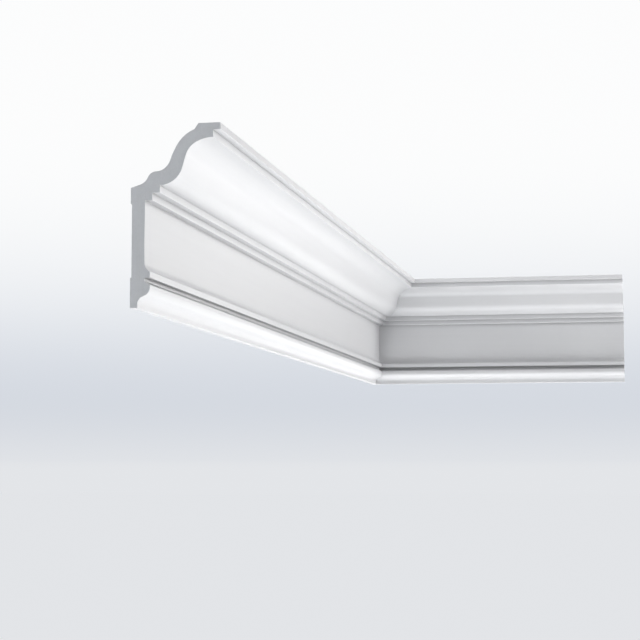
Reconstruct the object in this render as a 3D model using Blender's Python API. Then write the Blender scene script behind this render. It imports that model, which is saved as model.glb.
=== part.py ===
"""Cornice moulding: a long length and a short return, mitred together at an inside corner.

One section serves both lengths. It is drawn as points (out, up): the distance out from the back plane and
the height above the moulding's lower edge, both in millimetres. Each length is that section extruded along
its run, sawn square at its free end and cut back to the 45 degree mitre plane at the corner. Arcs start and
end at angles in degrees, counted from the outward direction.
"""
import math

import bmesh
import bpy
from mathutils import Vector

MM = 0.001

# Overall sizes, in millimetres
HEIGHT = 200.0
PROJECTION = 100.0
LONG_RUN = 1640.0
RETURN_RUN = 498.0
MITRE_GAP = 0.3

# Top fillet and the riser below it
TOP_FILLET_HEIGHT = 7.5
RISER_SET_BACK = 8.1
RISER_HEIGHT = 8.3

# Ogee: a cavetto above, an ovolo below, and the short slope that joins them
CAVETTO_RADII = (30.8, 22.3)
CAVETTO_END = 168.5
OVOLO_RADII = (25.9, 26.1)
OVOLO_START = -15.5

# Two stepped fillets under the ogee, and the flat frieze
FRIEZE_THICKNESS = 16.1
FILLET_STEP = 8.3
FILLET_HEIGHT = 8.1
FRIEZE_TOP = 117.1

# Small cove and fillet at the foot of the frieze
COVE_TOP = 49.1
COVE_RADII = (8.0, 9.9)
COVE_END = 257.0
LOWER_FILLET_TOP = 39.5
LOWER_FILLET_BOTTOM = 32.6
LOWER_FILLET_OUT = 22.3

# Quirk, the bead under it, and the foot
QUIRK_OUT = 16.0
QUIRK_BOTTOM = 29.0
BEAD_TOP = 25.0
BEAD_OUT = 22.4
BEAD_CENTRE_UP = 22.4
BEAD_RADIUS = 9.8
BEAD_END = -74.0
FOOT_OUT = 8.5
FOOT_COVE_UP = 4.4
FOOT_COVE_RADIUS = 8.2

# Back: two bands in the back plane, with a shallow recess between them
LOWER_BAND_TOP = 33.0
RECESS_TOP = 113.5
RECESS_DEPTH = 1.4
UPPER_BAND_TOP = 131.3

# Hollow behind the ogee, from the upper back band to the flat band on top
LEDGE_END = (10.7, 134.7)
SWEEP_CENTRE = (5.7, 148.4)
SWEEP_RADIUS = 14.6
SWEEP_ANGLES = (-66.0, -26.0)
NOSE_CENTRE = (28.4, 138.4)
NOSE_RADIUS = 10.2
NOSE_ANGLES = (154.0, 97.0)
HOLLOW_LOWER_CENTRE = (28.9, 169.1)
HOLLOW_LOWER_RADII = (16.7, 20.4)
HOLLOW_LOWER_ANGLES = (-90.0, -18.0)
HOLLOW_UPPER_CENTRE = (81.5, 152.5)
HOLLOW_UPPER_RADII = (36.6, 42.7)
HOLLOW_UPPER_ANGLES = (152.5, 107.0)
TOP_BAND_CHAMFER = (71.9, 195.0)
TOP_BAND_IN = 75.3

ARC_STEP = 4.0
SHARP_ANGLE = 24.0

PRIMER_COLOUR = (0.86, 0.865, 0.87, 1.0)
PRIMER_ROUGHNESS = 0.5


def clear_scene():
    for old in list(bpy.data.objects):
        bpy.data.objects.remove(old, do_unlink=True)


def arc(centre, radii, start, end):
    """Points along an arc from start to end, in degrees from the outward direction."""
    steps = max(2, round(abs(end - start) / ARC_STEP))
    points = []
    for step in range(steps + 1):
        angle = math.radians(start + (end - start) * step / steps)
        points.append((centre[0] + radii[0] * math.cos(angle), centre[1] + radii[1] * math.sin(angle)))
    return points


def front_outline():
    """The moulded face, from the top down to the lower edge."""
    riser_out = PROJECTION - RISER_SET_BACK
    soffit_up = HEIGHT - TOP_FILLET_HEIGHT
    ogee_top = soffit_up - RISER_HEIGHT
    second_fillet_top = FRIEZE_TOP + FILLET_HEIGHT
    ogee_bottom = second_fillet_top + FILLET_HEIGHT
    first_fillet_out = FRIEZE_THICKNESS + 2.0 * FILLET_STEP
    second_fillet_out = FRIEZE_THICKNESS + FILLET_STEP

    points = [(PROJECTION, HEIGHT), (PROJECTION, soffit_up), (riser_out, soffit_up)]
    cavetto_centre = (riser_out, ogee_top - CAVETTO_RADII[1])
    ovolo_centre = (first_fillet_out, ogee_bottom + OVOLO_RADII[1])
    points += arc(cavetto_centre, CAVETTO_RADII, 90.0, CAVETTO_END)
    points += arc(ovolo_centre, OVOLO_RADII, OVOLO_START, -90.0)
    points += [(first_fillet_out, second_fillet_top), (second_fillet_out, second_fillet_top)]
    points += [(second_fillet_out, FRIEZE_TOP), (FRIEZE_THICKNESS, FRIEZE_TOP)]

    points += arc((FRIEZE_THICKNESS + COVE_RADII[0], COVE_TOP), COVE_RADII, 180.0, COVE_END)
    points += [(LOWER_FILLET_OUT, LOWER_FILLET_TOP), (LOWER_FILLET_OUT, LOWER_FILLET_BOTTOM)]
    points.append((QUIRK_OUT, LOWER_FILLET_BOTTOM))
    points += [(QUIRK_OUT, QUIRK_BOTTOM), (BEAD_OUT, BEAD_TOP)]

    bead_centre = (BEAD_OUT - BEAD_RADIUS, BEAD_CENTRE_UP)
    foot_centre = (FOOT_OUT + FOOT_COVE_RADIUS, FOOT_COVE_UP)
    points += arc(bead_centre, (BEAD_RADIUS, BEAD_RADIUS), 0.0, BEAD_END)
    points += arc(foot_centre, (FOOT_COVE_RADIUS, FOOT_COVE_RADIUS), 180.0 + BEAD_END, 180.0)
    points.append((FOOT_OUT, 0.0))
    return points


def back_outline():
    """The hidden side, from the lower edge up to the top."""
    points = [(0.0, 0.0), (0.0, LOWER_BAND_TOP), (RECESS_DEPTH, LOWER_BAND_TOP)]
    points += [(RECESS_DEPTH, RECESS_TOP), (0.0, RECESS_TOP), (0.0, UPPER_BAND_TOP), LEDGE_END]
    points += arc(SWEEP_CENTRE, (SWEEP_RADIUS, SWEEP_RADIUS), *SWEEP_ANGLES)
    points += arc(NOSE_CENTRE, (NOSE_RADIUS, NOSE_RADIUS), *NOSE_ANGLES)
    points += arc(HOLLOW_LOWER_CENTRE, HOLLOW_LOWER_RADII, *HOLLOW_LOWER_ANGLES)
    points += arc(HOLLOW_UPPER_CENTRE, HOLLOW_UPPER_RADII, *HOLLOW_UPPER_ANGLES)
    points += [TOP_BAND_CHAMFER, (TOP_BAND_IN, HEIGHT)]
    return points


def primer(name):
    material = bpy.data.materials.new(name)
    material.use_nodes = True
    shader = material.node_tree.nodes["Principled BSDF"]
    shader.inputs["Base Color"].default_value = PRIMER_COLOUR
    shader.inputs["Roughness"].default_value = PRIMER_ROUGHNESS
    shader.inputs["Metallic"].default_value = 0.0
    return material


def moulding(name, run, mitre_at_start):
    """One length: local X runs out from the back, Y along the run and Z up, with the lower edge at zero."""
    mesh = bpy.data.meshes.new(name)
    cut = bmesh.new()
    corners = [cut.verts.new(Vector((out, 0.0, up)) * MM) for out, up in front_outline() + back_outline()]
    start_face = cut.faces.new(corners)
    extruded = bmesh.ops.extrude_face_region(cut, geom=[start_face])
    end_corners = [part for part in extruded["geom"] if isinstance(part, bmesh.types.BMVert)]
    bmesh.ops.translate(cut, verts=end_corners, vec=(0.0, run * MM, 0.0))

    # Each point slides along the run by its own distance from the back, which makes the 45 degree cut
    gap_along_run = MITRE_GAP * MM * math.sqrt(2.0) / 2.0
    slide = 1.0 if mitre_at_start else -1.0
    for corner in corners if mitre_at_start else end_corners:
        corner.co.y += slide * (corner.co.x + gap_along_run)

    bmesh.ops.recalc_face_normals(cut, faces=cut.faces)
    cut.to_mesh(mesh)
    cut.free()
    mesh.shade_smooth()
    mesh.set_sharp_from_angle(angle=math.radians(SHARP_ANGLE))
    mesh.materials.append(primer(name + "_primer"))
    length = bpy.data.objects.new(name, mesh)
    bpy.context.collection.objects.link(length)
    return length


def build():
    clear_scene()

    # The origin is on the lower back band, halfway along the long length
    corner = bpy.data.objects.new("inside_corner", None)
    corner.location = Vector((0.0, LONG_RUN / 2.0, -LOWER_BAND_TOP / 2.0)) * MM
    bpy.context.collection.objects.link(corner)

    long_length = moulding("long_length", LONG_RUN, mitre_at_start=False)
    long_length.parent = corner
    long_length.location.y = -LONG_RUN * MM

    return_length = moulding("return_length", RETURN_RUN, mitre_at_start=True)
    return_length.parent = corner
    return_length.rotation_euler.z = -math.pi / 2.0


build()
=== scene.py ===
"""Looks of the cornice run: white primed face, plainer back skin and grey sawn ends, in soft studio light.

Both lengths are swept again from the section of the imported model, with finer curves, eased arrises and a
hairline mitre. Each length has its own axes: X runs out from the back, Y along the run and Z up. Sizes are
in metres and colours are linear.
"""
import math

import bmesh
import bpy
from mathutils import Matrix, Vector


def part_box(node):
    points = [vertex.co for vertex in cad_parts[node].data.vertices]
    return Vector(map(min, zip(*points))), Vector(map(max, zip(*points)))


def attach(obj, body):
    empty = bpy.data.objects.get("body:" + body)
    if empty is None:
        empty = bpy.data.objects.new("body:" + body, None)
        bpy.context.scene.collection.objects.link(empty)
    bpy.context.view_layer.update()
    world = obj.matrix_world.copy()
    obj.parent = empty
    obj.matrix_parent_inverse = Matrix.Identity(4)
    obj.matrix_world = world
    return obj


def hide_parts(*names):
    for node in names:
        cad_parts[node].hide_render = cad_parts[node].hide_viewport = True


# Camera, measured from the sawn end, the back plane and the lower edge of the long length. Its angles are
# in degrees and its lens in millimetres
CAMERA_OUT = 0.5567
CAMERA_BEFORE_END = 1.7936
CAMERA_BELOW_EDGE = 0.1786
CAMERA_TURN_LEFT = 10.955
CAMERA_LOOK_UP = 5.071
CAMERA_LENS = 97.56
CAMERA_REACH = 500.0

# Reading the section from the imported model. The outline has a corner where it turns by more than the
# corner angle, and it is straight where its curve turns by less than the straight angle, in radians
SAME_POINT = 1e-6
ON_PLANE = 1e-5
CORNER_ANGLE = math.radians(24.0)
STRAIGHT_ANGLE = 1e-6

# Shape details
CURVE_PARTS = 3
OUTER_EASE = 0.0005
INNER_EASE = 0.00035
EASE_PARTS = 5
LONGEST_EASED_SHARE = 0.4
SAWN_EDGE_EASE = 0.00015
LEAST_STRETCH = 0.5
MITRE_SEAM = 0.00006

# Material order on each length
FACE = 0
BACK = 1
SAWN = 2

# Most of a noise lies in the first of these ranges
NOISE_RANGE = (0.3, 0.7)
FULL_RANGE = (0.0, 1.0)

# Primer, with cloudy patches, drag marks along the run, and a fine orange peel
PRIMER_DARK = (0.623, 0.623, 0.634)
PRIMER_LIGHT = (0.647, 0.647, 0.657)
PRIMER_ROUGHNESS = (0.35, 0.41)
PATCH_SIZE = 0.09
PATCH_SHARE = 0.6
DRAG_SIZE = 0.0035
DRAG_STRETCH = (1.0, 0.02, 1.0)
DRAG_SHARE = 0.4
DRAG_DEPTH = 0.00002
PEEL_SIZE = 0.0012
PEEL_DEPTH = 0.00001

# Painted shade: the primer's colour is darkened towards a grey in crevices up to the reach, where ambient
# occlusion finds them: darkest at the first openness, and none at the second
PAINTED_SHADE_REACH = 0.016
PAINTED_SHADE_COLOUR = (0.360, 0.362, 0.370)
PAINTED_SHADE_OPENNESS = (0.2, 0.88)
OPENNESS_SAMPLES = 8

# Back skin, with blotches, small blow holes and a grain
BACK_DARK = (0.21, 0.214, 0.221)
BACK_LIGHT = (0.31, 0.314, 0.321)
BACK_ROUGHNESS = (0.6, 0.85)
BLOTCH_SIZE = 0.03
HOLE_SPACING = 0.006
HOLE_RIM = (0.06, 0.10)
HOLE_DEPTH = 0.0003
GRAIN_SIZE = 0.002
GRAIN_DEPTH = 0.0001

# Sawn foam, with open cells, soft clouds and strokes of the saw
SAWN_DARK = (0.545, 0.558, 0.581)
SAWN_LIGHT = (0.650, 0.666, 0.691)
SAWN_ROUGHNESS = (0.85, 0.95)
CELL_SIZE = 0.0007
CELL_SPREAD = (0.0, 0.8)
CELL_SHARE = 0.5
CELL_DEPTH = 0.00008
CLOUD_SIZE = 0.012
CLOUD_SHARE = 0.3
STROKE_SIZE = 0.0014
STROKE_STRETCH = (1.0, 1.0, 0.03)
STROKE_SHARE = 0.2
STROKE_DEPTH = 0.00006

# Square soft boxes round the middle of the run: azimuth, elevation, watts and colour. Azimuth 0 is the
# camera's side and 90 the open side. Elevation is above the level
LIGHTS_AIM = (0.10, 0.15, 0.08)
LIGHT_DISTANCE = 4.0
LIGHT_SIDE = 2.6
NEUTRAL = (1.0, 1.0, 1.0)
COOL = (0.95, 0.975, 1.0)
LIGHTS = {
    "low_front": (0.0, -70.0, 96.0, COOL),
    "high_front": (0.0, 30.0, 43.0, COOL),
    "back_side_level": (-60.0, 10.0, 127.0, NEUTRAL),
    "back_side_under": (-60.0, -65.0, 54.0, NEUTRAL),
    "back_side_low": (-90.0, -20.0, 128.0, NEUTRAL),
    "back_side_far": (-120.0, -40.0, 99.0, NEUTRAL),
    "open_side": (90.0, 5.0, 130.0, NEUTRAL),
    "sheen_high": (140.0, 5.0, 40.0, NEUTRAL),
    "sheen_under": (140.0, -45.0, 47.0, NEUTRAL),
    "sheen_level": (155.0, -5.0, 18.0, NEUTRAL),
    "sheen_low": (165.0, -12.0, 24.0, NEUTRAL),
    "sheen_behind": (180.0, -45.0, 47.0, NEUTRAL),
    "top": (0.0, 90.0, 120.0, NEUTRAL),
}
AMBIENT = 0.02

# Floor, and a backdrop whose tones go from the horizon, at 0, up to its reach, at 1. The reach is the sine
# of the elevation
FLOOR_DROP = 5.5
FLOOR_SIDE = 900.0
FLOOR_TONE = (0.77, 0.785, 0.81, 1.0)
FLOOR_GLOW = 0.985
FLOOR_BASE = (0.3, 0.3, 0.3, 1.0)
FLOOR_ROUGHNESS = 0.9
BACKDROP_REACH = 0.2
BACKDROP_TONES = (
    (0.0, FLOOR_TONE),
    (0.04, FLOOR_TONE),
    (0.22, (0.60, 0.64, 0.71, 1.0)),
    (0.48, (0.84, 0.86, 0.89, 1.0)),
    (0.75, (0.965, 0.97, 0.975, 1.0)),
    (1.0, (0.975, 0.978, 0.98, 1.0)),
)


def lies_at(face, along):
    """Whether the whole face lies at this place along Y."""
    return all(abs(vert.co.y - along) < ON_PLANE for vert in face.verts)


def section_outline(node):
    """Points (out, up) round the section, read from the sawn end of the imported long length."""
    cut = bmesh.new()
    cut.from_mesh(node.data)
    bmesh.ops.remove_doubles(cut, verts=cut.verts, dist=SAME_POINT)
    end = min(vert.co.y for vert in cut.verts)

    # An edge is on the outline if just one of its faces lies on the sawn end
    beside = {}
    for edge in cut.edges:
        if sum(lies_at(face, end) for face in edge.link_faces) == 1:
            for vert in edge.verts:
                beside.setdefault(vert, []).append(edge.other_vert(vert))

    # The path starts at the top corner furthest out, and goes down the moulded face first
    start = max(beside, key=lambda vert: vert.co.x + vert.co.z)
    low = min(vert.co.z for vert in beside)
    path = [start, min(beside[start], key=lambda vert: vert.co.z)]
    while path[-1] is not start:
        path.append(next(vert for vert in beside[path[-1]] if vert is not path[-2]))
    points = [Vector((vert.co.x, vert.co.z - low)) for vert in path[:-1]]
    cut.free()
    return points


def turn_at(points, index):
    """The signed angle that the closed outline turns through at a point."""
    before = points[index] - points[index - 1]
    after = points[(index + 1) % len(points)] - points[index]
    return math.atan2(before.cross(after), before.dot(after))


def curve_run(points, index, stretch):
    """The curve's direction at a point, as long as the stretch beside it, or that stretch at a corner."""
    if abs(turn_at(points, index)) > CORNER_ANGLE:
        return stretch
    before = points[index] - points[index - 1]
    after = points[(index + 1) % len(points)] - points[index]
    direction = before.normalized() * after.length + after.normalized() * before.length
    return direction.normalized() * stretch.length


def finer_curves(points):
    """Adds points between the old ones where the outline curves. Straight stretches stay as they are."""
    finer = []
    for index, start in enumerate(points):
        finer.append(start)
        ahead = (index + 1) % len(points)
        end = points[ahead]
        start_run = curve_run(points, index, end - start)
        end_run = curve_run(points, ahead, end - start)
        if start_run.angle(end - start) + end_run.angle(end - start) < STRAIGHT_ANGLE:
            continue
        for part in range(1, CURVE_PARTS):
            t = part / CURVE_PARTS
            finer.append(
                start * (2 * t**3 - 3 * t**2 + 1) + start_run * (t**3 - 2 * t**2 + t)
                + end * (3 * t**2 - 2 * t**3) + end_run * (t**3 - t**2)
            )
    return finer


def eased(points):
    """Rounds the corners, the outer ones a little more. Each new point comes with its old one's index."""
    rounded = []
    for index, corner in enumerate(points):
        angle = turn_at(points, index)
        if abs(angle) < CORNER_ANGLE:
            rounded.append((corner, index))
            continue
        before = points[index - 1] - corner
        after = points[(index + 1) % len(points)] - corner
        reach = (OUTER_EASE if angle < 0.0 else INNER_EASE) * math.tan(abs(angle) / 2.0)
        reach = min(reach, LONGEST_EASED_SHARE * before.length, LONGEST_EASED_SHARE * after.length)
        start = corner + before.normalized() * reach
        end = corner + after.normalized() * reach
        for part in range(EASE_PARTS + 1):
            t = part / EASE_PARTS
            rounded.append((start * (1.0 - t)**2 + corner * (2.0 * t * (1.0 - t)) + end * t**2, index))
    return rounded


def moved_in(points, distance):
    """The closed outline moved in by the distance, with mitred corners. A very sharp one is cut short."""
    moved = []
    for index, point in enumerate(points):
        before = (point - points[index - 1]).normalized()
        after = (points[(index + 1) % len(points)] - point).normalized()
        across = Vector((before.y + after.y, -before.x - after.x)).normalized()
        stretch = across.dot(Vector((before.y, -before.x)))
        moved.append(point + across * (distance / max(stretch, LEAST_STRETCH)))
    return moved


def ring(solid, outline, place_along):
    """One vertex for each point of the outline, each at its own place along the run."""
    return [solid.verts.new((point.x, place_along(point), point.y)) for point in outline]


def band(solid, first, second, materials):
    """Quads between two rings of the same length, each with its material."""
    for index, material in enumerate(materials):
        ahead = (index + 1) % len(first)
        quad = solid.faces.new((first[index], first[ahead], second[ahead], second[index]))
        quad.material_index = material


def face_and_back(corners, shape):
    """The material of each stretch of the eased outline. The back skin starts at the foot of the back."""
    foot = min(range(len(corners)), key=lambda index: corners[index].x + corners[index].y)
    first_back = [old for point, old in shape].index(foot) + EASE_PARTS
    return [FACE if place < first_back else BACK for place in range(len(shape))]


def moulding(name, corners, run, mitre_at_start):
    """One length, from its mitred end to its sawn end."""
    shape = eased(corners)
    outline = [point for point, old in shape]
    materials = face_and_back(corners, shape)
    mitre_end, sawn_end = (0.0, run) if mitre_at_start else (run, 0.0)
    inwards = 1.0 if mitre_at_start else -1.0
    seam = MITRE_SEAM / math.sqrt(2.0)

    solid = bmesh.new()
    mitre_ring = ring(solid, outline, lambda point: mitre_end + inwards * (point.x + seam))
    side_ring = ring(solid, outline, lambda point: sawn_end - inwards * SAWN_EDGE_EASE)
    cut_ring = ring(solid, moved_in(outline, SAWN_EDGE_EASE), lambda point: sawn_end)
    band(solid, mitre_ring, side_ring, materials)
    band(solid, side_ring, cut_ring, materials)
    for end_ring in (mitre_ring, cut_ring):
        end_face = solid.faces.new(end_ring)
        end_face.material_index = SAWN
    bmesh.ops.recalc_face_normals(solid, faces=solid.faces)

    mesh = bpy.data.meshes.new(name)
    solid.to_mesh(mesh)
    solid.free()
    mesh.shade_smooth()
    mesh.set_sharp_from_angle(angle=CORNER_ANGLE)
    piece = bpy.data.objects.new(name, mesh)
    bpy.context.collection.objects.link(piece)
    shading = piece.modifiers.new("flats_stay_flat", "WEIGHTED_NORMAL")
    shading.keep_sharp = True
    return piece


def principled(name):
    """A new material, with its node tree and its shader."""
    material = bpy.data.materials.new(name)
    material.use_nodes = True
    return material, material.node_tree, material.node_tree.nodes["Principled BSDF"]


def object_coords(tree, stretch=(1.0, 1.0, 1.0)):
    """The piece's own coordinates, scaled by the stretch. A texture gets longer where that is small."""
    place = tree.nodes.new("ShaderNodeTexCoord")
    scaled = tree.nodes.new("ShaderNodeMapping")
    scaled.inputs["Scale"].default_value = stretch
    tree.links.new(place.outputs["Object"], scaled.inputs["Vector"])
    return scaled.outputs["Vector"]


def noise(tree, coords, size, detail=2.0):
    """Cloudy noise whose features are about the given size."""
    texture = tree.nodes.new("ShaderNodeTexNoise")
    texture.inputs["Scale"].default_value = 1.0 / size
    texture.inputs["Detail"].default_value = detail
    tree.links.new(coords, texture.inputs["Vector"])
    return texture.outputs["Fac"]


def cells(tree, coords, size):
    """Distance to the middle of the nearest cell, in cell sizes."""
    texture = tree.nodes.new("ShaderNodeTexVoronoi")
    texture.inputs["Scale"].default_value = 1.0 / size
    tree.links.new(coords, texture.inputs["Vector"])
    return texture.outputs["Distance"]


def remapped(tree, value, source, target):
    """Carries a value from one range over to another."""
    mapping = tree.nodes.new("ShaderNodeMapRange")
    for socket, number in zip(("From Min", "From Max", "To Min", "To Max"), (*source, *target)):
        mapping.inputs[socket].default_value = number
    tree.links.new(value, mapping.inputs["Value"])
    return mapping.outputs["Result"]


def summed(tree, first, second):
    """The sum of two values."""
    added = tree.nodes.new("ShaderNodeMath")
    added.operation = "ADD"
    tree.links.new(first, added.inputs[0])
    tree.links.new(second, added.inputs[1])
    return added.outputs[0]


def coloured(tree, value, dark, light):
    """Blends two colours by a value between 0 and 1."""
    ramp = tree.nodes.new("ShaderNodeValToRGB")
    ramp.color_ramp.elements[0].color = (*dark, 1.0)
    ramp.color_ramp.elements[1].color = (*light, 1.0)
    tree.links.new(value, ramp.inputs["Fac"])
    return ramp.outputs["Color"]


def blended(tree, share, colour, other):
    """Mixes a fixed colour with another output, which shows in full where the share is 1."""
    mix = tree.nodes.new("ShaderNodeMix")
    mix.data_type = "RGBA"
    mix.inputs["A"].default_value = (*colour, 1.0)
    tree.links.new(share, mix.inputs["Factor"])
    tree.links.new(other, mix.inputs["B"])
    return mix.outputs["Result"]


def openness(tree, reach):
    """How open the surface is, from 0 deep in a crevice to 1 on a flat, looking as far as the reach."""
    sky = tree.nodes.new("ShaderNodeAmbientOcclusion")
    sky.samples = OPENNESS_SAMPLES
    sky.only_local = True
    sky.inputs["Distance"].default_value = reach
    return sky.outputs["AO"]


def bumped(tree, height, depth, under=None):
    """A bump of the given depth, on top of another bump if one is given."""
    bump = tree.nodes.new("ShaderNodeBump")
    bump.inputs["Distance"].default_value = depth
    tree.links.new(height, bump.inputs["Height"])
    if under:
        tree.links.new(under, bump.inputs["Normal"])
    return bump.outputs["Normal"]


def primer_material():
    """Factory primer: satin white, with painted shade greying it in crevices, a fine orange peel and faint
    drag marks.
    """
    material, tree, shader = principled("satin_white_primer")
    coords = object_coords(tree)
    drag = noise(tree, object_coords(tree, DRAG_STRETCH), DRAG_SIZE, detail=3.0)
    patches = noise(tree, coords, PATCH_SIZE, detail=3.0)
    peel = noise(tree, coords, PEEL_SIZE)
    patch_tone = remapped(tree, patches, NOISE_RANGE, (0.0, PATCH_SHARE))
    drag_tone = remapped(tree, drag, NOISE_RANGE, (0.0, DRAG_SHARE))
    coat = coloured(tree, summed(tree, patch_tone, drag_tone), PRIMER_DARK, PRIMER_LIGHT)
    # Painted shade: the base colour turns grey where ambient occlusion finds a crevice
    painted_shade_mask = remapped(tree, openness(tree, PAINTED_SHADE_REACH), PAINTED_SHADE_OPENNESS, FULL_RANGE)
    tree.links.new(blended(tree, painted_shade_mask, PAINTED_SHADE_COLOUR, coat), shader.inputs["Base Color"])
    tree.links.new(remapped(tree, patches, NOISE_RANGE, PRIMER_ROUGHNESS), shader.inputs["Roughness"])
    surface = bumped(tree, peel, PEEL_DEPTH, bumped(tree, drag, DRAG_DEPTH))
    tree.links.new(surface, shader.inputs["Normal"])
    return material


def back_material():
    """Moulded back skin: unprimed, matte, a little blotchy, with small blow holes."""
    material, tree, shader = principled("raw_back_skin")
    coords = object_coords(tree)
    blotches = noise(tree, coords, BLOTCH_SIZE, detail=5.0)
    holes = remapped(tree, cells(tree, coords, HOLE_SPACING), HOLE_RIM, FULL_RANGE)
    tree.links.new(coloured(tree, blotches, BACK_DARK, BACK_LIGHT), shader.inputs["Base Color"])
    tree.links.new(remapped(tree, blotches, NOISE_RANGE, BACK_ROUGHNESS), shader.inputs["Roughness"])
    grain = noise(tree, coords, GRAIN_SIZE, detail=4.0)
    surface = bumped(tree, grain, GRAIN_DEPTH, bumped(tree, holes, HOLE_DEPTH))
    tree.links.new(surface, shader.inputs["Normal"])
    return material


def sawn_material():
    """Sawn hard foam: grey, fine open cells, and faint strokes of the saw."""
    material, tree, shader = principled("sawn_grey_foam")
    coords = object_coords(tree)
    cell = remapped(tree, cells(tree, coords, CELL_SIZE), CELL_SPREAD, FULL_RANGE)
    cloud = noise(tree, coords, CLOUD_SIZE, detail=3.0)
    stroke = noise(tree, object_coords(tree, STROKE_STRETCH), STROKE_SIZE)
    cell_tone = remapped(tree, cell, FULL_RANGE, (0.0, CELL_SHARE))
    cloud_tone = remapped(tree, cloud, NOISE_RANGE, (0.0, CLOUD_SHARE))
    stroke_tone = remapped(tree, stroke, NOISE_RANGE, (0.0, STROKE_SHARE))
    tone = summed(tree, summed(tree, cell_tone, cloud_tone), stroke_tone)
    tree.links.new(coloured(tree, tone, SAWN_DARK, SAWN_LIGHT), shader.inputs["Base Color"])
    tree.links.new(remapped(tree, cloud, NOISE_RANGE, SAWN_ROUGHNESS), shader.inputs["Roughness"])
    surface = bumped(tree, cell, CELL_DEPTH, bumped(tree, stroke, STROKE_DEPTH))
    tree.links.new(surface, shader.inputs["Normal"])
    return material


def place_lengths(frame):
    """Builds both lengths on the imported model's corner, each in place of its CAD node.

    Gives the low corner of the long length's box, which lies on the sawn end.
    """
    long_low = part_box("long_length")[0]
    return_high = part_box("return_length")[1]
    corners = finer_curves(section_outline(frame["nodes"]["long_length"]))
    corner = Matrix.Translation((long_low.x, return_high.y, long_low.z))
    long_run = return_high.y - long_low.y
    return_run = return_high.x - long_low.x
    materials = [primer_material(), back_material(), sawn_material()]
    along_back = corner @ Matrix.Translation((0.0, -long_run, 0.0))
    turned = corner @ Matrix.Rotation(-math.pi / 2.0, 4, "Z")
    for name, node, run, mitre_at_start, place in (
        ("long_moulding", "long_length", long_run, False, along_back),
        ("return_moulding", "return_length", return_run, True, turned),
    ):
        piece = moulding(name, corners, run, mitre_at_start)
        piece.matrix_world = place
        for material in materials:
            piece.data.materials.append(material)
        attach(piece, "root")
        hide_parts(node)
    return long_low


def add_camera(end):
    """The photograph's view, from below and in front of the sawn end."""
    data = bpy.data.cameras.new("camera")
    data.lens = CAMERA_LENS
    data.clip_end = CAMERA_REACH
    camera = bpy.data.objects.new("camera", data)
    camera.location = end + Vector((CAMERA_OUT, -CAMERA_BEFORE_END, -CAMERA_BELOW_EDGE))
    camera.rotation_euler = (math.radians(90.0 + CAMERA_LOOK_UP), 0.0, math.radians(CAMERA_TURN_LEFT))
    bpy.context.collection.objects.link(camera)
    bpy.context.scene.camera = camera


def add_lights():
    """Soft boxes, each aimed at the middle of the run and never seen themselves."""
    for name, (azimuth, elevation, watts, colour) in LIGHTS.items():
        turn = math.radians(azimuth)
        rise = math.radians(elevation)
        level = math.cos(rise)
        away = Vector((math.sin(turn) * level, -math.cos(turn) * level, math.sin(rise)))
        data = bpy.data.lights.new(name, "AREA")
        data.shape = "SQUARE"
        data.size = LIGHT_SIDE
        data.energy = watts
        data.color = colour
        light = bpy.data.objects.new(name, data)
        light.location = Vector(LIGHTS_AIM) + away * LIGHT_DISTANCE
        light.rotation_euler = (-away).to_track_quat("-Z", "Y").to_euler()
        light.visible_camera = False
        bpy.context.collection.objects.link(light)


def backdrop_colour(tree):
    """The backdrop's tone by height above the horizon: blue-grey low down and nearly white above."""
    place = tree.nodes.new("ShaderNodeTexCoord")
    split = tree.nodes.new("ShaderNodeSeparateXYZ")
    tree.links.new(place.outputs["Generated"], split.inputs[0])
    ramp = tree.nodes.new("ShaderNodeValToRGB")
    ramp.color_ramp.interpolation = "B_SPLINE"
    for place_up, _ in BACKDROP_TONES[1:-1]:
        ramp.color_ramp.elements.new(place_up)
    for element, (place_up, tone) in zip(ramp.color_ramp.elements, BACKDROP_TONES):
        element.position = place_up
        element.color = tone
    height = remapped(tree, split.outputs["Z"], (0.0, BACKDROP_REACH), FULL_RANGE)
    tree.links.new(height, ramp.inputs["Fac"])
    return ramp.outputs["Color"]


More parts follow.
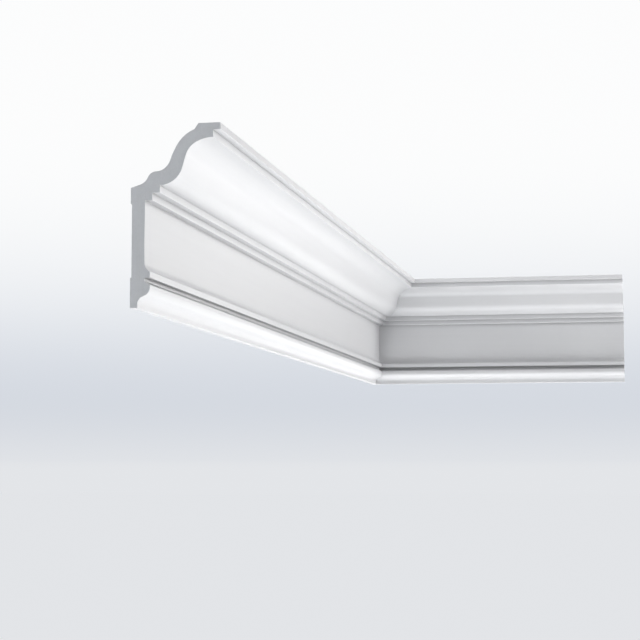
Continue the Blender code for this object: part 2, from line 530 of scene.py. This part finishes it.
def add_world():
    """A pale backdrop that only the camera sees, and a weak light from all round."""
    world = bpy.data.worlds.new("studio")
    bpy.context.scene.world = world
    world.use_nodes = True
    tree = world.node_tree
    tree.nodes.clear()
    seen = tree.nodes.new("ShaderNodeBackground")
    tree.links.new(backdrop_colour(tree), seen.inputs["Color"])
    ambient = tree.nodes.new("ShaderNodeBackground")
    ambient.inputs["Color"].default_value = (*NEUTRAL, 1.0)
    ambient.inputs["Strength"].default_value = AMBIENT
    sight = tree.nodes.new("ShaderNodeLightPath")
    mix = tree.nodes.new("ShaderNodeMixShader")
    output = tree.nodes.new("ShaderNodeOutputWorld")
    tree.links.new(sight.outputs["Is Camera Ray"], mix.inputs[0])
    tree.links.new(ambient.outputs[0], mix.inputs[1])
    tree.links.new(seen.outputs[0], mix.inputs[2])
    tree.links.new(mix.outputs[0], output.inputs["Surface"])


def add_floor(level):
    """A wide pale floor that reaches the horizon and throws no light or shadow on the moulding."""
    half = FLOOR_SIDE / 2.0
    corners = [(-half, -half, 0.0), (half, -half, 0.0), (half, half, 0.0), (-half, half, 0.0)]
    mesh = bpy.data.meshes.new("studio_floor")
    mesh.from_pydata(corners, [], [(0, 1, 2, 3)])
    floor = bpy.data.objects.new("studio_floor", mesh)
    floor.location.z = level
    floor.visible_diffuse = False
    floor.visible_glossy = False
    floor.visible_shadow = False
    bpy.context.collection.objects.link(floor)
    material, tree, shader = principled("pale_floor")
    shader.inputs["Base Color"].default_value = FLOOR_BASE
    shader.inputs["Roughness"].default_value = FLOOR_ROUGHNESS
    shader.inputs["Emission Color"].default_value = FLOOR_TONE
    shader.inputs["Emission Strength"].default_value = FLOOR_GLOW
    mesh.materials.append(material)


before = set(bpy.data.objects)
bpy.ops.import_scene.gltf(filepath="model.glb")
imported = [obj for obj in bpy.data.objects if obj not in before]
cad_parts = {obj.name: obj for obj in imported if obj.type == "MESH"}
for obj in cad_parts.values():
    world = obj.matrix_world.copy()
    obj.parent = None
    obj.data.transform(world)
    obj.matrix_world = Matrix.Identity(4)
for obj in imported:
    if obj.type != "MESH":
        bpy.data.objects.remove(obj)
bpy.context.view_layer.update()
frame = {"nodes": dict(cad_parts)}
near_end = place_lengths(frame)
add_camera(near_end)
add_lights()
add_world()
add_floor(near_end.z - FLOOR_DROP)
bpy.context.scene.view_settings.view_transform = "Standard"
